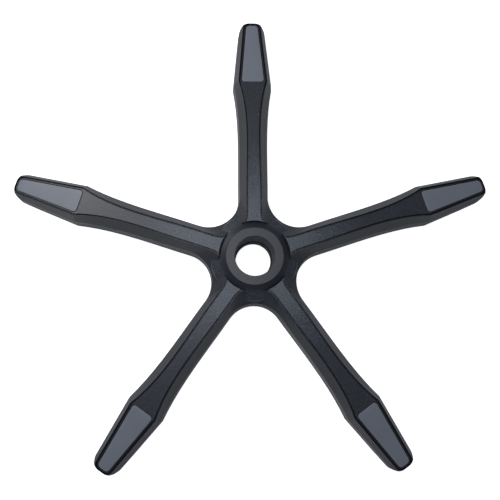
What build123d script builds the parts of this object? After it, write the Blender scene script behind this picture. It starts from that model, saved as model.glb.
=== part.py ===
from build123d import *
import math
import os

# Five-arm chair base. One black moulding holds the hub with its tapered socket and five
# hollow ribbed arms, each with a stem socket under its tip. A grey pad is let into the top
# of each arm's tip. Millimetres. The origin is on the hub axis, in the plane that the hub
# tube and the tips stand on.

# Arms, seen from above: distances from the hub axis and half widths of the flat top and of
# the ridge below it.
arm_count = 5
first_arm_angle = 90.0
root_radius = 80.0
waist_radius = 140.0
tip_radius = 330.2
tip_length = 94.2
elbow_radius = tip_radius - tip_length
flare_length = 36.0
flare_radius = elbow_radius - flare_length
root_top_half = 10.2
waist_top_half = 9.25
flare_top_half = 11.8
elbow_top_half = 19.2
tip_top_half = 11.6
root_ridge_half = 17.8
waist_ridge_half = 18.0
flare_ridge_half = 20.2
elbow_ridge_half = 25.0
tip_ridge_half = 16.4
tip_corner = 15.5

# Arms, seen from the side: heights of the flat top, the drop from it to the ridge, and the
# draft of the outer walls below the ridge.
root_top_height = 59.4
waist_top_height = 55.4
flare_top_height = 49.6
elbow_top_height = 45.2
pad_slope = 14.2
slope_drop = 16.4
tip_slope_drop = 8.8
wall_draft = 4.3

# The underside runs level from the hub, then falls in one arc to the tip's flat foot.
belly_height = 15.0
belly_level_radius = 100.0
foot_length = 38.2
foot_radius = tip_radius - foot_length

# Hub: a flat ring round the socket, a cone falling away from it, and the bevel below.
hub_height = 62.0
ring_radius = 37.2
ring_chamfer = 1.0
cone_radius = 54.7
cone_height = 50.0
bevel_radius = 57.6
facet_inner_radius = 45.3
web_radius = 37.0
web_top_radius = 31.0

# Gas-spring socket: 1 in 20 taper on the diameter, eased by a shallow relief between two
# seating bands.
socket_mouth = 50.0
socket_taper = 1.0 / 20.0
lead_in = 0.4
relief_depth = 0.7
relief_low = 18.0
relief_high = 44.0
tube_wall = 6.5

# Shadow groove round each arm's flat top. It follows the top's flare as far as the moat.
groove_lip = 0.4
groove_width = 2.0
groove_depth = 2.2

# Shell and ribs.
wall = 4.0
roof = 4.6
rib = 2.6
rib_recess = 2.0
lattice_start = 52.0
lattice_bays = 5

# Stem socket for a caster, and the boss around it.
stem_setback = 25.2
stem_radius = tip_radius - stem_setback
stem_bore = 11.0
stem_depth = 22.5
boss_wall = 5.0

# Pad and its seat. The pad stands a little proud, with an open seam around it.
pad_overlap = 1.2
pad_inner_radius = elbow_radius - pad_overlap
pad_setback = 5.8
pad_outer_radius = tip_radius - pad_setback
pad_inner_half = 14.9
pad_outer_half = 7.7
pad_inner_corner = 4.0
pad_outer_corner = 5.2
pad_thickness = 2.4
pad_proud = 0.4
pad_seam = 0.7
pad_edge_bevel = 0.5
tab_length = 9.0
tab_width = 3.0
tab_reach = 5.6
tab_clearance = 0.2
near_tab_inset = 15.2
near_tab_radius = pad_inner_radius + near_tab_inset
tab_stem_gap = 22.0
far_tab_radius = stem_radius - tab_stem_gap

# Worked out from the sizes above.
arm_step = 360.0 / arm_count
half_step = math.radians(arm_step / 2.0)
draft_run = math.tan(math.radians(wall_draft))
pad_fall = math.tan(math.radians(pad_slope))
tip_top_height = elbow_top_height - (tip_radius - elbow_radius) * pad_fall
recess_depth = pad_thickness - pad_proud
pad_roof = roof + recess_depth
stem_socket_radius = stem_bore / 2.0
boss_radius = stem_socket_radius + boss_wall
tube_radius = socket_mouth / 2.0 + tube_wall
above = 2.0 * hub_height
beyond = 1.2 * tip_radius
on_floor = (Align.MIN, Align.CENTER, Align.MIN)


class Section:
    """Half of an arm's six-cornered cross-section: top, ridge and foot."""

    def __init__(self, radius, top_half, ridge_half, top_height, drop, cover):
        self.radius = radius
        self.top = (top_half, top_height)
        self.ridge = (ridge_half, top_height - drop)
        self.foot = (ridge_half + self.ridge[1] * draft_run, 0.0)
        self.cover = cover

    def inner(self):
        """The same three corners of the hollow, one wall in and one roof down."""
        side = shifted_line(self.foot, self.ridge, wall)
        slope = shifted_line(self.ridge, self.top, wall)
        roof_height = self.top[1] - self.cover
        foot = (width_at(side, 0.0), 0.0)
        top = (width_at(slope, roof_height), roof_height)
        return top, meeting(side, slope), foot


def shifted_line(low, high, distance):
    """A line from low to high as width = base + lean * height, moved inwards."""
    lean = (high[0] - low[0]) / (high[1] - low[1])
    base = low[0] - lean * low[1] - distance * math.hypot(1.0, lean)
    return base, lean


def width_at(line, height):
    return line[0] + line[1] * height


def meeting(line, other):
    height = (other[0] - line[0]) / (line[1] - other[1])
    return width_at(line, height), height


root = Section(
    root_radius, root_top_half, root_ridge_half, root_top_height, slope_drop, roof
)
waist = Section(
    waist_radius, waist_top_half, waist_ridge_half, waist_top_height, slope_drop, roof
)
flare = Section(
    flare_radius, flare_top_half, flare_ridge_half, flare_top_height, slope_drop, roof
)
elbow = Section(
    elbow_radius, elbow_top_half, elbow_ridge_half, elbow_top_height, slope_drop, pad_roof
)
tip = Section(
    tip_radius, tip_top_half, tip_ridge_half, tip_top_height, tip_slope_drop, pad_roof
)


def section_face(radius, corners):
    """The full section across an arm that lies along +X."""
    right = [(radius, -width, height) for width, height in corners]
    left = [(radius, width, height) for width, height in reversed(corners)]
    return Face(Wire.make_polygon([Vector(*point) for point in right + left], close=True))


def arm_run(sections, corners_of, ruled):
    faces = [section_face(section.radius, corners_of(section)) for section in sections]
    return Solid.make_loft([face.outer_wire() for face in faces], ruled)


def outer_corners(section):
    return [section.top, section.ridge, section.foot]


def inner_corners(section):
    return list(section.inner())


def star_face(half_width, fillet_radius, reach, height):
    """Outline of the arms' roots: five straight legs joined by arcs."""
    centre = (half_width + fillet_radius) / math.sin(half_step)
    tangent = (half_width + fillet_radius) / math.tan(half_step)
    nearest = centre - fillet_radius
    edges = []
    for index in range(arm_count):
        turn = Rotation(0, 0, index * arm_step)
        bisector = (math.cos(half_step), math.sin(half_step))
        end = Vector(
            tangent * math.cos(2 * half_step) + half_width * math.sin(2 * half_step),
            tangent * math.sin(2 * half_step) - half_width * math.cos(2 * half_step),
        )
        leg = Polyline(
            (tangent, -half_width), (reach, -half_width), (reach, half_width), (tangent, half_width)
        )
        web = ThreePointArc(
            (tangent, half_width), (nearest * bisector[0], nearest * bisector[1]), end
        )
        edges += (turn * leg).edges()
        edges += (turn * web).edges()
    return Pos(0, 0, height) * Face(Wire(edges))


def star_layer(lower, lower_fillet, upper, upper_fillet):
    """A ruled layer of the roots between two (half width, height) corners."""
    faces = [
        star_face(lower[0], lower_fillet, root_radius, lower[1]),
        star_face(upper[0], upper_fillet, root_radius, upper[1]),
    ]
    return Solid.make_loft([face.outer_wire() for face in faces], True)


def turned(points):
    """A solid of revolution about the hub axis from (radius, height) points."""
    outline = Polyline(*[(radius, 0, height) for radius, height in points], close=True)
    return revolve(Face(Wire(outline.edges())), Axis.Z, 360)


def belly(rise, fall):
    """The space under one arm along +X, up to its underside raised by rise.

    The level part falls to the foot in a curve through three points.
    """
    level = belly_height + rise
    span = foot_radius - belly_level_radius
    bend = (span**2 + belly_height**2) / (2.0 * belly_height)
    half_angle = math.asin(span / bend) / 2.0
    middle_radius = belly_level_radius + bend * math.sin(half_angle)
    middle_height = level - bend * (1.0 - math.cos(half_angle))
    edges = Polyline(
        (foot_radius, 0, rise),
        (beyond, 0, rise),
        (beyond, 0, -above),
        (0, 0, -above),
        (0, 0, level),
        (belly_level_radius, 0, level),
    ).edges()
    edges += fall(
        (belly_level_radius, 0, level), (middle_radius, 0, middle_height), (foot_radius, 0, rise)
    ).edges()
    return extrude(Face(Wire(edges)), 2.0 * elbow.foot[0], dir=(0, 1, 0), both=True)


def hub_top():
    """Ring, cone and bevel, solid down to the standing plane."""
    return turned([
        (0, 0),
        (bevel_radius, 0),
        (bevel_radius, root.ridge[1]),
        (cone_radius, cone_height),
        (ring_radius, hub_height - ring_chamfer),
        (ring_radius - ring_chamfer, hub_height),
        (0, hub_height),
    ])


def rounded_tip():
    """Prism round an arm, with its walls' draft and a rounded end, to trim a run to length."""
    slant = (elbow.foot[0] - tip.foot[0]) / (tip_radius - elbow_radius)
    start_half = tip.foot[0] + slant * (tip_radius - flare_radius)
    plan = Polygon(
        (flare_radius, -start_half), (tip_radius, -tip.foot[0]),
        (tip_radius, tip.foot[0]), (flare_radius, start_half),
        align=None,
    )
    plan = fillet(plan.vertices().group_by(Axis.X)[-1], tip_corner)
    return extrude(plan, above, taper=wall_draft)


def root_flare(inset):
    """Three points of the arc by which an arm's flat top widens at the hub, drawn in by inset."""
    bend = web_top_radius + inset
    across = root_top_half + web_top_radius
    along = across / math.tan(half_step)
    sweep = math.asin((along - ring_radius) / bend)
    return [
        (along - bend * math.sin(turn), across - bend * math.cos(turn))
        for turn in (sweep, sweep / 2.0, 0.0)
    ]


def facet_face(inset):
    """Plan of an arm's flat top, drawn in by inset, from inside the hub to its tip."""
    side = [
        (root_radius, root_top_half - inset),
        (waist_radius, waist_top_half - inset),
        (flare_radius, flare_top_half - inset),
        (elbow_radius, elbow_top_half - inset),
    ]
    flare_arc = root_flare(inset)
    slant = (elbow_top_half - tip_top_half) / (tip_radius - elbow_radius)
    end = tip_radius - tip_top_height * draft_run - inset
    end_half = elbow_top_half - inset - slant * (end - elbow_radius)
    mirrored = [(x, -y) for x, y in side]
    mirrored_arc = [(x, -y) for x, y in flare_arc]
    upper = ThreePointArc(*flare_arc).edges() + Line(flare_arc[-1], side[0]).edges()
    lower = ThreePointArc(*mirrored_arc).edges() + Line(mirrored_arc[-1], mirrored[0]).edges()
    upper += Spline(*side).edges()
    lower += Spline(*mirrored).edges()
    far = Polyline(side[-1], (end, end_half), (end, -end_half), mirrored[-1]).edges()
    near = Line(mirrored_arc[0], flare_arc[0]).edges()
    face = Face(Wire(upper + far + lower + near))
    corners = face.vertices().group_by(Axis.X)[-1]
    return face.fillet_2d(tip_corner - tip.foot[0] + tip_top_half - inset, corners)


def groove():
    """Narrow slot that follows the edge of an arm's flat top, round its tip."""
    ring = facet_face(groove_lip) - facet_face(groove_lip + groove_width)
    slot = extrude(ring, above, dir=(0, 0, 1))
    floor = [
        (root_radius, 0, root_top_height - groove_depth),
        (waist_radius, 0, waist_top_height - groove_depth),
        (flare_radius, 0, flare_top_height - groove_depth),
        (elbow_radius, 0, elbow_top_height - groove_depth),
    ]
    end_height = elbow_top_height - groove_depth - (beyond - elbow_radius) * pad_fall
    side = Line((ring_radius, 0, floor[0][2]), floor[0]).edges() + Spline(*floor).edges()
    side += Polyline(
        floor[-1], (beyond, 0, end_height), (beyond, 0, above), (ring_radius, 0, above),
        (ring_radius, 0, floor[0][2]),
    ).edges()
    overhead = extrude(Face(Wire(side)), elbow.foot[0], dir=(0, 1, 0), both=True)
    return slot & overhead


pad_plane = Plane(
    origin=(elbow_radius, 0, elbow_top_height),
    x_dir=(1, 0, -pad_fall),
    z_dir=(pad_fall, 0, 1),
)


def along_pad(radius):
    """Distance down the pad plane to the point over a given radius."""
    return (radius - elbow_radius) * math.hypot(1.0, pad_fall)


def pad_sketch(spread):
    """The pad's outline on its own plane, widened by spread."""
    near = along_pad(pad_inner_radius)
    far = along_pad(pad_outer_radius)
    slant = (pad_inner_half - pad_outer_half) / (far - near)
    near_half = pad_inner_half + spread + slant * spread
    far_half = pad_outer_half + spread - slant * spread
    outline = Polygon(
        (near - spread, -near_half), (far + spread, -far_half),
        (far + spread, far_half), (near - spread, near_half),
        align=None,
    )
    inner = outline.vertices().group_by(Axis.X)[0]
    outline = fillet(inner, pad_inner_corner + spread)
    outer = outline.vertices().group_by(Axis.X)[-1]
    return fillet(outer, pad_outer_corner + spread)


def tabs(spread, reach):
    """Two flat tabs that reach down from the underside of the pad, widened by spread."""
    size = (tab_length + 2.0 * spread, tab_width + 2.0 * spread, reach)
    tab = Box(*size, align=(Align.CENTER, Align.CENTER, Align.MAX))
    near = Pos(along_pad(near_tab_radius), 0, -recess_depth) * tab
    far = Pos(along_pad(far_tab_radius), 0, -recess_depth) * tab
    return [pad_plane * near, pad_plane * far]


def pad_recess():
    """Seat of the pad, open above, with a slot through the roof for each tab."""
    seat = extrude(pad_sketch(pad_seam), amount=2.0 * recess_depth)
    seat = pad_plane * Pos(0, 0, -recess_depth) * seat
    return seat + tabs(tab_clearance, 2.0 * roof)


def foot_pad():
    """Thin tapered pad with a bevelled upper edge and two locating tabs."""
    plate = extrude(pad_sketch(0.0), amount=pad_thickness)
    upper = plate.faces().sort_by(Axis.Z)[-1]
    plate = chamfer(upper.edges(), pad_edge_bevel)
    plate = pad_plane * Pos(0, 0, -recess_depth) * plate
    return plate + tabs(0.0, tab_reach)


def rib_bar(start, end):
    """Upright plate between two points in plan."""
    length = math.dist(start, end)
    angle = math.degrees(math.atan2(end[1] - start[1], end[0] - start[0]))
    middle = ((start[0] + end[0]) / 2.0, (start[1] + end[1]) / 2.0)
    plate = Box(length, rib, above, align=(Align.CENTER, Align.CENTER, Align.MIN))
    return Pos(*middle) * Rotation(0, 0, angle) * plate


def raised(bars):
    """Ribs joined into one shape, with their lower edges above the underside."""
    return bars[0] + bars[1:] - belly(rib_recess, Polyline)


def lattice():
    """Crossed ribs that run the length of an arm, and those that hold the stem's boss."""
    reach = elbow.foot[0]
    bay = (stem_radius - boss_radius - lattice_start) / lattice_bays
    bars = [
        rib_bar((stem_radius, -reach), (stem_radius, reach)),
        rib_bar((stem_radius, 0), (tip_radius, 0)),
    ]
    for index in range(lattice_bays):
        near = lattice_start + index * bay
        far = near + bay
        spread = reach if near > waist_radius else root.foot[0]
        bars.append(rib_bar((near, -spread), (far, spread)))
        bars.append(rib_bar((near, spread), (far, -spread)))
    return raised(bars)


def spokes():
    """Ribs from the tube of the socket to one arm's lattice and to the web beside it."""
    inside = tube_radius - rib
    to_arm = rib_bar((inside, 0), (lattice_start, 0))
    to_web = Rotation(0, 0, arm_step / 2.0) * rib_bar((inside, 0), (bevel_radius, 0))
    return raised([to_arm, to_web])


def socket():
    """The tapered bore, with its lead-in at the top and the relief between the bands."""
    mouth = socket_mouth / 2.0
    lean = socket_taper / 2.0

    def radius_at(height):
        return mouth - (hub_height - height) * lean

    return turned([
        (0, 0),
        (radius_at(0.0), 0),
        (radius_at(relief_low), relief_low),
        (radius_at(relief_low) + relief_depth, relief_low + relief_depth),
        (radius_at(relief_high) + relief_depth, relief_high - relief_depth),
        (radius_at(relief_high), relief_high),
        (radius_at(hub_height - lead_in), hub_height - lead_in),
        (mouth + lead_in, hub_height),
        (0, hub_height),
    ])


def arm(ribs, slot):
    """One arm along +X, from its root section out."""
    shaft = arm_run([root, waist, flare, elbow], outer_corners, False)
    end = arm_run([elbow, tip], outer_corners, True) & rounded_tip()
    hollow = arm_run([root, waist, flare, elbow, tip], inner_corners, True)
    boss = Pos(stem_radius, 0, 0) * Cylinder(boss_radius, above)
    end_wall = Pos(tip_radius - wall, 0, 0) * Box(2.0 * tip_corner, beyond, above, align=on_floor)
    stem = Pos(stem_radius, 0, 0) * Cylinder(stem_socket_radius, 2.0 * stem_depth)
    hollow = hollow - [boss, end_wall, ribs]
    return shaft + end - [hollow, slot, pad_recess(), stem, belly(0.0, ThreePointArc)]


def under_roof():
    """Hollow of the hub: the lower roots, opened up into each arm below its flat top."""
    top, ridge, foot = root.inner()
    foot_web = web_radius + root.foot[0]
    lower = star_layer(foot, foot_web - foot[0], ridge, foot_web - ridge[0])
    channel = arm_channel(facet_inner_radius + roof, [top, ridge])
    return lower + around_star(channel)


def arm_channel(start, corners):
    """Straight upper part of the hollow, from a radius inside the hub to the arm's root."""
    right = [(-width, height) for width, height in corners]
    left = [(width, height) for width, height in reversed(corners)]
    points = [Vector(start, *point) for point in right + left]
    face = Face(Wire.make_polygon(points, close=True))
    return extrude(face, root_radius - start, dir=(1, 0, 0))


def hub(ribs, slot):
    """Ring, cone and arm roots, hollow below around the tube of the socket."""
    foot_web = web_radius + root.foot[0]
    ridge_web = foot_web - root.ridge[0]
    lower = star_layer(root.foot, web_radius, root.ridge, ridge_web)
    upper = star_layer(root.ridge, ridge_web, root.top, web_top_radius)
    moat = Cylinder(facet_inner_radius, 2.0 * above)
    upper = upper - [moat] - around_star(slot)
    tube = Cylinder(tube_radius, 2.0 * above)
    hollow = under_roof() - [tube] - around_star(ribs) - around_star(spokes())
    underside = Cylinder(beyond, 2.0 * belly_height) - tube
    return hub_top() + [lower, upper] - [hollow, underside, socket()]


def around_star(shape):
    """Copies of a shape along +X, one for each arm, before the star is turned to its place."""
    return [Rotation(0, 0, index * arm_step) * shape for index in range(arm_count)]


def star_base():
    """The whole black moulding, with one arm along +X."""
    ribs = lattice()
    slot = groove()
    return hub(ribs, slot) + around_star(arm(ribs, slot))


os.makedirs("parts", exist_ok=True)
to_place = Rotation(0, 0, first_arm_angle)
export_step(to_place * star_base(), "parts/star_base.step")
for number, pad in enumerate(around_star(foot_pad()), start=1):
    export_step(to_place * pad, f"parts/foot_pad_{number}.step")
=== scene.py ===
import math
import bmesh
import bpy
from mathutils import Matrix, Vector


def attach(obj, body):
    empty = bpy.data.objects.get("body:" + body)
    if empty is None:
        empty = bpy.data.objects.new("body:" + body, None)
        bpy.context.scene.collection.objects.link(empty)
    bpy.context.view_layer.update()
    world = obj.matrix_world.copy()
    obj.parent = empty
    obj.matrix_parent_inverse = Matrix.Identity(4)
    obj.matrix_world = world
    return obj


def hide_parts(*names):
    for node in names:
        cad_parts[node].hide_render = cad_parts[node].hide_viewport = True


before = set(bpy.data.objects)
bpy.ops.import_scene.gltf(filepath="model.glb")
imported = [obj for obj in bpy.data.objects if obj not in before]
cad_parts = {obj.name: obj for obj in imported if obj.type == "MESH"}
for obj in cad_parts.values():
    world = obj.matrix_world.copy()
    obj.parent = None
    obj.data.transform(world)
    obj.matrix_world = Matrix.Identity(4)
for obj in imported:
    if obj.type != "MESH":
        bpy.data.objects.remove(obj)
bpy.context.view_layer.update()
scene = bpy.context.scene
armCount = 5


# small helpers
def toLinear(hexColour):
    # sRGB hex, as a paint program writes it, to the linear values that nodes take
    channels = [int(hexColour[i:i + 2], 16) / 255 for i in (1, 3, 5)]
    linear = [c / 12.92 if c <= 0.04045 else ((c + 0.055) / 1.055) ** 2.4 for c in channels]
    return (*linear, 1.0)


def addNode(tree, kind, settings=None, links=None):
    node = tree.nodes.new(kind)
    for name, value in (settings or {}).items():
        setattr(node, name, value)
    for socket, source in (links or {}).items():
        if isinstance(source, bpy.types.NodeSocket):
            tree.links.new(source, node.inputs[socket])
        else:
            node.inputs[socket].default_value = source
    return node


def newMaterial(name):
    material = bpy.data.materials.new(name)
    material.use_nodes = True
    material.node_tree.nodes.clear()
    return material


def linkObject(name, mesh):
    thing = bpy.data.objects.new(name, mesh)
    scene.collection.objects.link(thing)
    return thing


def asPlainMesh(thing):
    # the evaluated result of the modifiers, kept as an ordinary mesh
    bpy.context.view_layer.update()
    shown = thing.evaluated_get(bpy.context.evaluated_depsgraph_get())
    mesh = bpy.data.meshes.new_from_object(shown)
    mesh.name = thing.name
    thing.modifiers.clear()
    thing.data = mesh


# camera, where the photograph was taken from
camera = {
    "place": (-0.0366, -0.1020, 0.8669),
    "forward": (0.0375, 0.1346, -0.9902),
    "up": (0.0016, 0.9909, 0.1348),
    "lens": 46.75,
    "sensor": 36.0,
    "clipStart": 0.05,
}


def makeCamera():
    forward = Vector(camera["forward"]).normalized()
    right = forward.cross(Vector(camera["up"])).normalized()
    up = right.cross(forward)
    turn = Matrix((right, up, -forward)).transposed()
    data = bpy.data.cameras.new("photoCamera")
    data.lens = camera["lens"]
    data.sensor_width = camera["sensor"]
    data.clip_start = camera["clipStart"]
    thing = linkObject("photoCamera", data)
    thing.matrix_world = Matrix.Translation(camera["place"]) @ turn.to_4x4()
    scene.camera = thing


makeCamera()
print("camera set")


# materials
noiseSpan = {
    "low": 0.3,  # nearly all of a noise texture's values lie between these
    "high": 0.7,
}
nylonLook = {
    "low": "#111216",
    "high": "#1a1c22",
    # light flecks on the grain: a painted highlight
    "grainHighlight": "#7a828f",
    "refraction": 1.53,
    "roughness": 0.40,
    "smoother": 0.05,  # how far the grain varies the roughness
    "rougher": 0.07,
    "edgeRadius": 0.0005,  # edges as a mould leaves them
    "raySamples": 8,
    "flowSize": 0.035,
    "flowDetail": 3.0,
    "flowSwirl": 0.8,
    "grainSize": 0.0009,
    "grainDetail": 2.0,
    "grainContrast": 0.6,
    "grainDepth": 0.00006,
    "highlightFrom": 0.48,  # heights of the grain that catch the light
    "highlightTo": 0.76,
    "steepUpright": 0.75,  # upward share of the normal: steep walls, then flat tops
    "flatUpright": 0.97,
    "steepGrain": 0.25,
    "highlightStart": 0.041,  # from the hub axis: the ring gets no painted highlight, the arms' tops do
    "highlightFull": 0.046,
    "highlightFadeStart": 0.070,  # the grain's painted highlight is brightest by the hub and fades along the arm
    "highlightFadeEnd": 0.150,
    "faintHighlight": 0.25,
    "highlightHeight": 0.044,  # the flat webs between the arms' roots lie lower and get no painted highlight
    "cavityReach": 0.005,  # grooves and the moat send little light back out: ambient occlusion dims the gloss there, a painted shade
    "cavityClosed": 0.35,
    "cavityOpen": 0.85,
    "closedGloss": 0.08,
    "openGloss": 0.5,
}


def mouldedNylon(name):
    # glass-filled nylon 6, injection moulded in a spark-eroded tool: near black with a cool
    # tint, satin, a fine even grain, and faint cloudy flow where the fibres lie
    material = newMaterial(name)
    tree = material.node_tree
    place = addNode(tree, "ShaderNodeTexCoord").outputs["Object"]
    # the real grain is about 0.1 mm, drawn at 0.9 mm so that it shows at the photo's distance
    grain = addNode(tree, "ShaderNodeTexNoise", None, {
        "Vector": place, "Scale": 1 / nylonLook["grainSize"],
        "Detail": nylonLook["grainDetail"], "Roughness": nylonLook["grainContrast"]})
    flow = addNode(tree, "ShaderNodeTexNoise", None, {
        "Vector": place, "Scale": 1 / nylonLook["flowSize"],
        "Detail": nylonLook["flowDetail"], "Distortion": nylonLook["flowSwirl"]})
    # flat tops carry the grain, flanks and walls are drawn smoother by the tool's draft; the
    # grain's painted highlight is kept to the upward-facing tops
    normal = addNode(tree, "ShaderNodeNewGeometry").outputs["Normal"]
    upright = addNode(tree, "ShaderNodeSeparateXYZ", None, {0: normal}).outputs["Z"]
    flatness = addNode(tree, "ShaderNodeMapRange", {"interpolation_type": "SMOOTHSTEP"}, {
        "Value": upright, "From Min": nylonLook["steepUpright"],
        "From Max": nylonLook["flatUpright"], "To Min": nylonLook["steepGrain"]})
    body = addNode(tree, "ShaderNodeMix", {"data_type": "RGBA"}, {
        0: flow.outputs["Fac"], 6: toLinear(nylonLook["low"]), 7: toLinear(nylonLook["high"])})
    fromAxis = addNode(tree, "ShaderNodeVectorMath", {"operation": "MULTIPLY"}, {
        0: place, 1: (1.0, 1.0, 0.0)})
    radius = addNode(tree, "ShaderNodeVectorMath", {"operation": "LENGTH"}, {
        0: fromAxis.outputs[0]}).outputs["Value"]
    onArm = addNode(tree, "ShaderNodeMapRange", None, {
        "Value": radius, "From Min": nylonLook["highlightStart"], "From Max": nylonLook["highlightFull"]})
    highlightFade = addNode(tree, "ShaderNodeMapRange", None, {
        "Value": radius, "From Min": nylonLook["highlightFadeStart"], "From Max": nylonLook["highlightFadeEnd"],
        "To Min": 1.0, "To Max": nylonLook["faintHighlight"]})
    # the grain's light flecks are a painted highlight: upward-facing arm tops only, brightest by
    # the hub
    grainHighlight = addNode(tree, "ShaderNodeMapRange", None, {
        "Value": grain.outputs["Fac"], "From Min": nylonLook["highlightFrom"],
        "From Max": nylonLook["highlightTo"]})
    level = addNode(tree, "ShaderNodeSeparateXYZ", None, {0: place}).outputs["Z"]
    onTop = addNode(tree, "ShaderNodeMath", {"operation": "GREATER_THAN"}, {
        0: level, 1: nylonLook["highlightHeight"]})
    highlightShare = grainHighlight.outputs[0]
    for mask in (flatness, onArm, highlightFade, onTop):
        highlightShare = addNode(tree, "ShaderNodeMath", {"operation": "MULTIPLY"}, {
            0: highlightShare, 1: mask.outputs[0]}).outputs[0]
    # the body's own tone, with the painted highlight mixed in where the grain rises
    colour = addNode(tree, "ShaderNodeMix", {"data_type": "RGBA"}, {
        0: highlightShare, 6: body.outputs[2], 7: toLinear(nylonLook["grainHighlight"])})
    rounded = addNode(tree, "ShaderNodeBevel", {"samples": nylonLook["raySamples"]}, {
        "Radius": nylonLook["edgeRadius"]}).outputs[0]
    # painted shade: ambient occlusion turns the gloss down in grooves, the moat and other hollows
    openness = addNode(tree, "ShaderNodeAmbientOcclusion", {
        "samples": nylonLook["raySamples"]}, {
            "Distance": nylonLook["cavityReach"]}).outputs["AO"]
    glossShare = addNode(tree, "ShaderNodeMapRange", None, {
        "Value": openness, "From Min": nylonLook["cavityClosed"],
        "From Max": nylonLook["cavityOpen"], "To Min": nylonLook["closedGloss"],
        "To Max": nylonLook["openGloss"]})
    sheen = addNode(tree, "ShaderNodeMapRange", None, {
        "Value": grain.outputs["Fac"], "From Min": noiseSpan["low"],
        "From Max": noiseSpan["high"], "To Min": nylonLook["roughness"] - nylonLook["smoother"],
        "To Max": nylonLook["roughness"] + nylonLook["rougher"]})
    height = addNode(tree, "ShaderNodeMath", {"operation": "MULTIPLY"}, {
        0: grain.outputs["Fac"], 1: flatness.outputs[0]})
    bump = addNode(tree, "ShaderNodeBump", None, {
        "Strength": 1.0, "Distance": nylonLook["grainDepth"], "Height": height.outputs[0],
        "Normal": rounded})
    shader = addNode(tree, "ShaderNodeBsdfPrincipled", None, {
        "Base Color": colour.outputs[2], "Roughness": sheen.outputs[0],
        "IOR": nylonLook["refraction"],
        "Specular IOR Level": glossShare.outputs[0],
        "Normal": bump.outputs[0]})
    addNode(tree, "ShaderNodeOutputMaterial", None, {0: shader.outputs[0]})
    return material


padLook = {
    "low": "#656971",
    "high": "#6f737b",
    "refraction": 1.5,
    "roughness": 0.5,
    "smoother": 0.04,
    "rougher": 0.06,
    "grainSize": 0.0008,
    "grainDepth": 0.00002,
    "flowSize": 0.03,
    "detail": 2.0,
}


def matteInsert(name):
    # thermoplastic elastomer overmould grade, moulded with a fine matt grain: mid grey with a
    # slight blue cast, soft broad highlights
    material = newMaterial(name)
    tree = material.node_tree
    place = addNode(tree, "ShaderNodeTexCoord").outputs["Object"]
    grain = addNode(tree, "ShaderNodeTexNoise", None, {
        "Vector": place, "Scale": 1 / padLook["grainSize"], "Detail": padLook["detail"]})
    cloud = addNode(tree, "ShaderNodeTexNoise", None, {
        "Vector": place, "Scale": 1 / padLook["flowSize"], "Detail": padLook["detail"]})
    colour = addNode(tree, "ShaderNodeMix", {"data_type": "RGBA"}, {
        0: cloud.outputs["Fac"], 6: toLinear(padLook["low"]), 7: toLinear(padLook["high"])})
    sheen = addNode(tree, "ShaderNodeMapRange", None, {
        "Value": grain.outputs["Fac"], "From Min": noiseSpan["low"],
        "From Max": noiseSpan["high"], "To Min": padLook["roughness"] - padLook["smoother"],
        "To Max": padLook["roughness"] + padLook["rougher"]})
    bump = addNode(tree, "ShaderNodeBump", None, {
        "Strength": 1.0, "Distance": padLook["grainDepth"], "Height": grain.outputs["Fac"]})
    shader = addNode(tree, "ShaderNodeBsdfPrincipled", None, {
        "Base Color": colour.outputs[2], "Roughness": sheen.outputs[0],
        "IOR": padLook["refraction"],
        "Normal": bump.outputs[0]})
    addNode(tree, "ShaderNodeOutputMaterial", None, {0: shader.outputs[0]})
    return material


nylon = mouldedNylon("mouldedNylon")
insert = matteInsert("matteElastomer")
print("materials made")


# the CAD's hollow just breaks through the wall at each tip's two rounded corners, so a curved
# backing closes the slit here, just inside the wall's drafted outside
cornerBacking = {
    "alongArm": 0.3147,  # the corner's centre, from the hub axis and from the arm's middle
    "acrossArm": 0.00337,
    "radius": 0.0155,
    "draft": 4.3,
    "setBack": 0.00025,
    "thickness": 0.0025,
    "low": 0.0003,
    "high": 0.0135,
    "fromAngle": 20.0,
    "toAngle": 58.0,
    "steps": 12,
}


def addCornerBacking(work, arm, side):
    armTurn = Matrix.Rotation(2 * math.pi * arm / armCount, 3, "Z")
    slope = math.tan(math.radians(cornerBacking["draft"]))
    rows = []
    for step in range(cornerBacking["steps"] + 1):
        share = step / cornerBacking["steps"]
        sweep = cornerBacking["toAngle"] - cornerBacking["fromAngle"]
        angle = math.radians(cornerBacking["fromAngle"] + share * sweep)
        row = []
        for height, depth in (("low", 0.0), ("high", 0.0), ("high", 1.0), ("low", 1.0)):
            z = cornerBacking[height]
            reach = cornerBacking["radius"] - cornerBacking["setBack"] - z * slope
            reach -= depth * cornerBacking["thickness"]
            across = side * (cornerBacking["acrossArm"] + reach * math.sin(angle))
            along = cornerBacking["alongArm"] + reach * math.cos(angle)
            row.append(work.verts.new(armTurn @ Vector((across, along, z))))
        rows.append(row)
    faces = [work.faces.new(rows[0]), work.faces.new(rows[-1])]
    for near, far in zip(rows, rows[1:]):
        for i in range(4):
            faces.append(work.faces.new((near[i], near[i - 1], far[i - 1], far[i])))
    bmesh.ops.recalc_face_normals(work, faces=faces)


# star base: the CAD moulding, welded, with smooth shading up to its creases
starBase = {
    "weld": 0.00001,
    "creaseAngle": 9.0,
    "normalWeight": 60,
}


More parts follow.
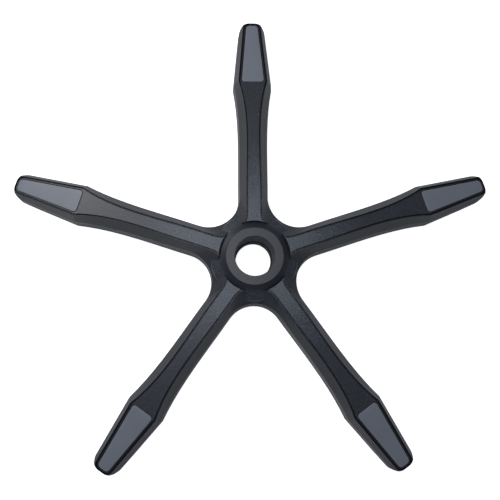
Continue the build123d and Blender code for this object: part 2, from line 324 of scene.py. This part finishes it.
def makeStarBase():
    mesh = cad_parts["star_base"].data.copy()
    mesh.materials.clear()
    mesh.materials.append(nylon)
    work = bmesh.new()
    work.from_mesh(mesh)
    bmesh.ops.remove_doubles(work, verts=work.verts, dist=starBase["weld"])
    for arm in range(armCount):
        for side in (-1, 1):
            addCornerBacking(work, arm, side)
    for face in work.faces:
        face.smooth = True
    crease = math.radians(starBase["creaseAngle"])
    for edge in work.edges:
        edge.smooth = not edge.is_manifold or edge.calc_face_angle() < crease
    openEdges = sum(not edge.is_manifold for edge in work.edges)
    print("star base welded:", len(work.faces), "faces,", openEdges, "open edges")
    work.to_mesh(mesh)
    work.free()
    base = linkObject("starBaseMoulding", mesh)
    shading = base.modifiers.new("evenShading", "WEIGHTED_NORMAL")
    shading.keep_sharp = True
    shading.weight = starBase["normalWeight"]
    asPlainMesh(base)
    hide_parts("star_base")
    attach(base, "root")


makeStarBase()
print("star base made")


# pads: one node tree shapes all five, each for its own arm
pad = {
    "innerRadius": 0.2348,  # ends of the pad, from the hub axis
    "outerRadius": 0.3244,
    "innerHalf": 0.0149,
    "outerHalf": 0.0077,
    "innerCorner": 0.0040,
    "outerCorner": 0.0052,
    "thickness": 0.0024,
    "proud": 0.0004,
    "edgeRound": 0.0006,
    "crown": 0.00015,
    "elbowRadius": 0.236,  # where the arm's flat top bends down to the tip
    "elbowHeight": 0.0452,
    "slope": 14.2,
    "tabLength": 0.0090,
    "tabWidth": 0.0030,
    "tabReach": 0.0056,
    "nearTabRadius": 0.2500,
    "farTabRadius": 0.2830,
    "cornerSteps": 16,
    "around": 240,
    "edgeSteps": 5,
    "topRings": 5,
    "weld": 0.000002,
    "crispAngle": 35.0,  # edges that bend more than this stay crisp
}


def downSlope(radius):
    return (radius - pad["elbowRadius"]) / math.cos(math.radians(pad["slope"]))


def padInputs(number):
    # what the tree's sockets take, for one arm
    near, far = downSlope(pad["innerRadius"]), downSlope(pad["outerRadius"])
    middle = (near + far) / 2
    return {
        "Length": far - near,
        "Inner Width": 2 * pad["innerHalf"],
        "Outer Width": 2 * pad["outerHalf"],
        "Inner Corner": pad["innerCorner"],
        "Outer Corner": pad["outerCorner"],
        "Thickness": pad["thickness"],
        "Edge Round": pad["edgeRound"],
        "Crown": pad["crown"],
        "Tab Length": pad["tabLength"],
        "Tab Width": pad["tabWidth"],
        "Tab Reach": pad["tabReach"],
        "Near Tab": downSlope(pad["nearTabRadius"]) - middle,
        "Far Tab": downSlope(pad["farTabRadius"]) - middle,
        "Middle": middle,
        "Sink": pad["thickness"] - pad["proud"],
        "Slope": math.radians(pad["slope"]),
        "Elbow Radius": pad["elbowRadius"],
        "Elbow Height": pad["elbowHeight"],
        "Arm Angle": (number - 1) * 2 * math.pi / armCount,
        "Corner Steps": pad["cornerSteps"],
        "Around": pad["around"],
        "Edge Steps": pad["edgeSteps"],
        "Top Rings": pad["topRings"],
    }


def makePadTree():
    tree = bpy.data.node_groups.new("footPad", "GeometryNodeTree")
    tree.interface.new_socket("Geometry", in_out="OUTPUT", socket_type="NodeSocketGeometry")
    for name, value in padInputs(1).items():
        kind = "NodeSocketInt" if isinstance(value, int) else "NodeSocketFloat"
        tree.interface.new_socket(name, in_out="INPUT", socket_type=kind)
    tree.interface.new_socket("Finish", in_out="INPUT", socket_type="NodeSocketMaterial")
    given = addNode(tree, "NodeGroupInput").outputs

    # plan outline: a trapezoid, its narrow end outwards, with its own corner radius at each end
    outline = addNode(tree, "GeometryNodeCurvePrimitiveQuadrilateral", {"mode": "TRAPEZOID"}, {
        "Height": given["Length"], "Bottom Width": given["Inner Width"],
        "Top Width": given["Outer Width"], "Offset": 0.0})
    position = addNode(tree, "GeometryNodeInputPosition")
    place = addNode(tree, "ShaderNodeSeparateXYZ", None, {0: position.outputs[0]}).outputs
    isOuter = addNode(tree, "ShaderNodeMath", {"operation": "GREATER_THAN"}, {
        0: place["Y"], 1: 0.0})
    corner = addNode(tree, "ShaderNodeMix", {"data_type": "FLOAT"}, {
        0: isOuter.outputs[0], 2: given["Inner Corner"], 3: given["Outer Corner"]})
    rounded = addNode(tree, "GeometryNodeFilletCurve", {"mode": "POLY"}, {
        "Curve": outline.outputs[0], "Count": given["Corner Steps"], "Radius": corner.outputs[0]})

    # a grid of rings: one under the plate, two on its side, the rounded edge, then the crown
    crownStart = addNode(tree, "ShaderNodeMath", None, {0: given["Edge Steps"], 1: 2.0}).outputs[0]
    lastRing = addNode(tree, "ShaderNodeMath", None, {
        0: crownStart, 1: given["Top Rings"]}).outputs[0]
    ringCount = addNode(tree, "ShaderNodeMath", None, {0: lastRing, 1: 1.0})
    stepCount = addNode(tree, "ShaderNodeMath", None, {0: given["Around"], 1: 1.0})
    grid = addNode(tree, "GeometryNodeMeshGrid", None, {
        "Size X": 1.0, "Size Y": 1.0, "Vertices X": stepCount.outputs[0],
        "Vertices Y": ringCount.outputs[0]})
    around = addNode(tree, "ShaderNodeMath", None, {0: place["X"], 1: 0.5})
    upwards = addNode(tree, "ShaderNodeMath", None, {0: place["Y"], 1: 0.5})
    upRings = addNode(tree, "ShaderNodeMath", {"operation": "MULTIPLY"}, {
        0: upwards.outputs[0], 1: lastRing})
    ring = addNode(tree, "ShaderNodeMath", {"operation": "ROUND"}, {
        0: upRings.outputs[0]}).outputs[0]

    # rings are counted from 0, so a test half way between two counts tells them apart
    isLowest = addNode(tree, "ShaderNodeMath", {"operation": "LESS_THAN"}, {0: ring, 1: 0.5})
    isRaised = addNode(tree, "ShaderNodeMath", {"operation": "GREATER_THAN"}, {0: ring, 1: 1.5})

    # the edge's quarter turn gives its inset and height
    turn = addNode(tree, "ShaderNodeMapRange", None, {
        "Value": ring, "From Min": 2.0, "From Max": crownStart, "To Max": math.pi / 2}).outputs[0]
    turnCos = addNode(tree, "ShaderNodeMath", {"operation": "COSINE"}, {0: turn})
    turnSin = addNode(tree, "ShaderNodeMath", {"operation": "SINE"}, {0: turn})
    insetShare = addNode(tree, "ShaderNodeMath", {"operation": "SUBTRACT"}, {
        0: 1.0, 1: turnCos.outputs[0]})
    inset = addNode(tree, "ShaderNodeMath", {"operation": "MULTIPLY"}, {
        0: insetShare.outputs[0], 1: given["Edge Round"]})
    sideHeight = addNode(tree, "ShaderNodeMath", {"operation": "SUBTRACT"}, {
        0: given["Thickness"], 1: given["Edge Round"]})
    edgeHeight = addNode(tree, "ShaderNodeMath", {"operation": "MULTIPLY_ADD"}, {
        0: turnSin.outputs[0], 1: given["Edge Round"], 2: sideHeight.outputs[0]})
    wallHeight = addNode(tree, "ShaderNodeMath", {"operation": "MULTIPLY"}, {
        0: edgeHeight.outputs[0], 1: isRaised.outputs[0]})

    # the top's rings draw in to the middle and rise by the crown, the lowest ring closes below
    topShare = addNode(tree, "ShaderNodeMapRange", None, {
        "Value": ring, "From Min": crownStart, "From Max": lastRing}).outputs[0]
    share = addNode(tree, "ShaderNodeMath", {"operation": "MAXIMUM"}, {
        0: topShare, 1: isLowest.outputs[0]})
    spread = addNode(tree, "ShaderNodeMath", {"operation": "SUBTRACT"}, {
        0: 1.0, 1: share.outputs[0]})
    fromMiddle = addNode(tree, "ShaderNodeMath", {"operation": "SUBTRACT"}, {0: 1.0, 1: topShare})
    fallOff = addNode(tree, "ShaderNodeMath", {"operation": "POWER"}, {
        0: fromMiddle.outputs[0], 1: 2.0})
    riseShare = addNode(tree, "ShaderNodeMath", {"operation": "SUBTRACT"}, {
        0: 1.0, 1: fallOff.outputs[0]})
    height = addNode(tree, "ShaderNodeMath", {"operation": "MULTIPLY_ADD"}, {
        0: riseShare.outputs[0], 1: given["Crown"], 2: wallHeight.outputs[0]})

    sample = addNode(tree, "GeometryNodeSampleCurve", {"mode": "FACTOR"}, {
        "Curves": rounded.outputs[0], "Factor": around.outputs[0]})
    inwards = addNode(tree, "ShaderNodeVectorMath", {"operation": "CROSS_PRODUCT"}, {
        0: (0.0, 0.0, 1.0), 1: sample.outputs["Tangent"]})
    drawnIn = addNode(tree, "ShaderNodeVectorMath", {"operation": "SCALE"}, {
        0: inwards.outputs[0], "Scale": inset.outputs[0]})
    onEdge = addNode(tree, "ShaderNodeVectorMath", {"operation": "ADD"}, {
        0: sample.outputs["Position"], 1: drawnIn.outputs[0]})
    onRing = addNode(tree, "ShaderNodeVectorMath", {"operation": "SCALE"}, {
        0: onEdge.outputs[0], "Scale": spread.outputs[0]})
    lift = addNode(tree, "ShaderNodeCombineXYZ", None, {"Z": height.outputs[0]})
    point = addNode(tree, "ShaderNodeVectorMath", {"operation": "ADD"}, {
        0: onRing.outputs[0], 1: lift.outputs[0]})
    wrapped = addNode(tree, "GeometryNodeSetPosition", None, {
        "Geometry": grid.outputs[0], "Position": point.outputs[0]})
    plate = addNode(tree, "GeometryNodeMergeByDistance", None, {
        "Geometry": wrapped.outputs[0], "Distance": pad["weld"]})

    # two locating tabs below, joined to the plate in one closed skin
    joined = addNode(tree, "GeometryNodeMeshBoolean", {"operation": "UNION", "solver": "MANIFOLD"})
    tree.links.new(plate.outputs[0], joined.inputs[1])
    halfPlate = addNode(tree, "ShaderNodeMath", {"operation": "MULTIPLY"}, {
        0: given["Thickness"], 1: 0.5}).outputs[0]
    tabHeight = addNode(tree, "ShaderNodeMath", None, {0: given["Tab Reach"], 1: halfPlate})
    tabSize = addNode(tree, "ShaderNodeCombineXYZ", None, {
        "X": given["Tab Width"], "Y": given["Tab Length"], "Z": tabHeight.outputs[0]})
    tab = addNode(tree, "GeometryNodeMeshCube", None, {"Size": tabSize.outputs[0]})
    tabMiddle = addNode(tree, "ShaderNodeMath", {"operation": "MULTIPLY_ADD"}, {
        0: tabHeight.outputs[0], 1: -0.5, 2: halfPlate})
    for which in ("Near Tab", "Far Tab"):
        tabPlace = addNode(tree, "ShaderNodeCombineXYZ", None, {
            "Y": given[which], "Z": tabMiddle.outputs[0]})
        placedTab = addNode(tree, "GeometryNodeTransform", None, {
            "Geometry": tab.outputs[0], "Translation": tabPlace.outputs[0]})
        tree.links.new(placedTab.outputs[0], joined.inputs[1])

    # smooth over the rounded edge, crisp at the tabs and the underside
    smooth = addNode(tree, "GeometryNodeSetShadeSmooth", None, {"Geometry": joined.outputs[0]})
    bend = addNode(tree, "GeometryNodeInputMeshEdgeAngle")
    isCrisp = addNode(tree, "FunctionNodeCompare", {"operation": "GREATER_THAN"}, {
        0: bend.outputs["Unsigned Angle"], 1: math.radians(pad["crispAngle"])})
    crisp = addNode(tree, "GeometryNodeSetShadeSmooth", {"domain": "EDGE"}, {
        "Geometry": smooth.outputs[0], "Selection": isCrisp.outputs[0], "Shade Smooth": False})

    # down the slope from the elbow, sunk into its seat, then round to its arm
    sink = addNode(tree, "ShaderNodeMath", {"operation": "MULTIPLY"}, {
        0: given["Sink"], 1: -1.0})
    slide = addNode(tree, "ShaderNodeCombineXYZ", None, {
        "Y": given["Middle"], "Z": sink.outputs[0]})
    slid = addNode(tree, "GeometryNodeTransform", None, {
        "Geometry": crisp.outputs[0], "Translation": slide.outputs[0]})
    dip = addNode(tree, "ShaderNodeMath", {"operation": "MULTIPLY"}, {0: given["Slope"], 1: -1.0})
    tilt = addNode(tree, "ShaderNodeCombineXYZ", None, {"X": dip.outputs[0]})
    elbow = addNode(tree, "ShaderNodeCombineXYZ", None, {
        "Y": given["Elbow Radius"], "Z": given["Elbow Height"]})
    seated = addNode(tree, "GeometryNodeTransform", None, {
        "Geometry": slid.outputs[0], "Translation": elbow.outputs[0], "Rotation": tilt.outputs[0]})
    armTurn = addNode(tree, "ShaderNodeCombineXYZ", None, {"Z": given["Arm Angle"]})
    turned = addNode(tree, "GeometryNodeTransform", None, {
        "Geometry": seated.outputs[0], "Rotation": armTurn.outputs[0]})
    plain = addNode(tree, "GeometryNodeRealizeInstances", None, {0: turned.outputs[0]})
    finished = addNode(tree, "GeometryNodeSetMaterial", None, {
        "Geometry": plain.outputs[0], "Material": given["Finish"]})
    addNode(tree, "NodeGroupOutput", None, {0: finished.outputs[0]})
    return tree


def makePad(number, tree):
    name = f"footPad{number}"
    thing = linkObject(name, bpy.data.meshes.new(name))
    shape = thing.modifiers.new("padShape", "NODES")
    shape.node_group = tree
    values = padInputs(number)
    values["Finish"] = insert
    for socket in tree.interface.items_tree:
        if socket.in_out == "INPUT":
            shape[socket.identifier] = values[socket.name]
    asPlainMesh(thing)
    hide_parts(f"foot_pad_{number}")
    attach(thing, "root")


padTree = makePadTree()
for number in range(1, armCount + 1):
    makePad(number, padTree)
print("pads made")


# floor and light
studio = {
    "floor": "#e4e4e4",
    "floorSize": 6.0,
    "floorDrop": 0.0002,
    "floorRoughness": 0.9,
    "lensGlow": 0.92,
    "world": "#dfe8f5",
    "worldStrength": 0.3,
}
softboxes = {
    "sideSoftbox": {"place": (-0.98, 0.80, 1.20), "size": 0.65, "power": 13.0, "tint": "#ffffff"},
    "topSoftbox": {"place": (-0.24, 0.20, 1.60), "size": 0.70, "power": 8.0, "tint": "#e9effc"},
}


def makeFloor():
    # matt pale paper, burnt out to white for the lens as in a catalogue picture, while the
    # moulding's flanks reflect it at its true, dimmer tone
    material = newMaterial("whitePaper")
    tree = material.node_tree
    ray = addNode(tree, "ShaderNodeLightPath")
    glow = addNode(tree, "ShaderNodeMath", {"operation": "MULTIPLY"}, {
        0: ray.outputs["Is Camera Ray"], 1: studio["lensGlow"]})
    shader = addNode(tree, "ShaderNodeBsdfPrincipled", None, {
        "Base Color": toLinear(studio["floor"]), "Roughness": studio["floorRoughness"],
        "Emission Color": (1, 1, 1, 1), "Emission Strength": glow.outputs[0]})
    addNode(tree, "ShaderNodeOutputMaterial", None, {0: shader.outputs[0]})
    half = studio["floorSize"] / 2
    mesh = bpy.data.meshes.new("floor")
    corners = [(-half, -half, 0), (half, -half, 0), (half, half, 0), (-half, half, 0)]
    mesh.from_pydata(corners, [], [(0, 1, 2, 3)])
    mesh.materials.append(material)
    floor = linkObject("floor", mesh)
    floor.location.z = -studio["floorDrop"]


def makeSoftbox(name, box):
    data = bpy.data.lights.new(name, "AREA")
    data.shape = "DISK"
    data.size = box["size"]
    data.energy = box["power"]
    data.color = toLinear(box["tint"])[:3]
    thing = linkObject(name, data)
    thing.location = box["place"]
    thing.rotation_mode = "QUATERNION"
    thing.rotation_quaternion = (-Vector(box["place"])).to_track_quat("-Z", "Y")


def makeWorld():
    world = bpy.data.worlds.new("studioWorld")
    world.use_nodes = True
    world.node_tree.nodes.clear()
    background = addNode(world.node_tree, "ShaderNodeBackground", None, {
        "Color": toLinear(studio["world"]), "Strength": studio["worldStrength"]})
    addNode(world.node_tree, "ShaderNodeOutputWorld", None, {0: background.outputs[0]})
    scene.world = world


makeFloor()
for name, box in softboxes.items():
    makeSoftbox(name, box)
makeWorld()
scene.view_settings.view_transform = "Standard"
print("studio lit")
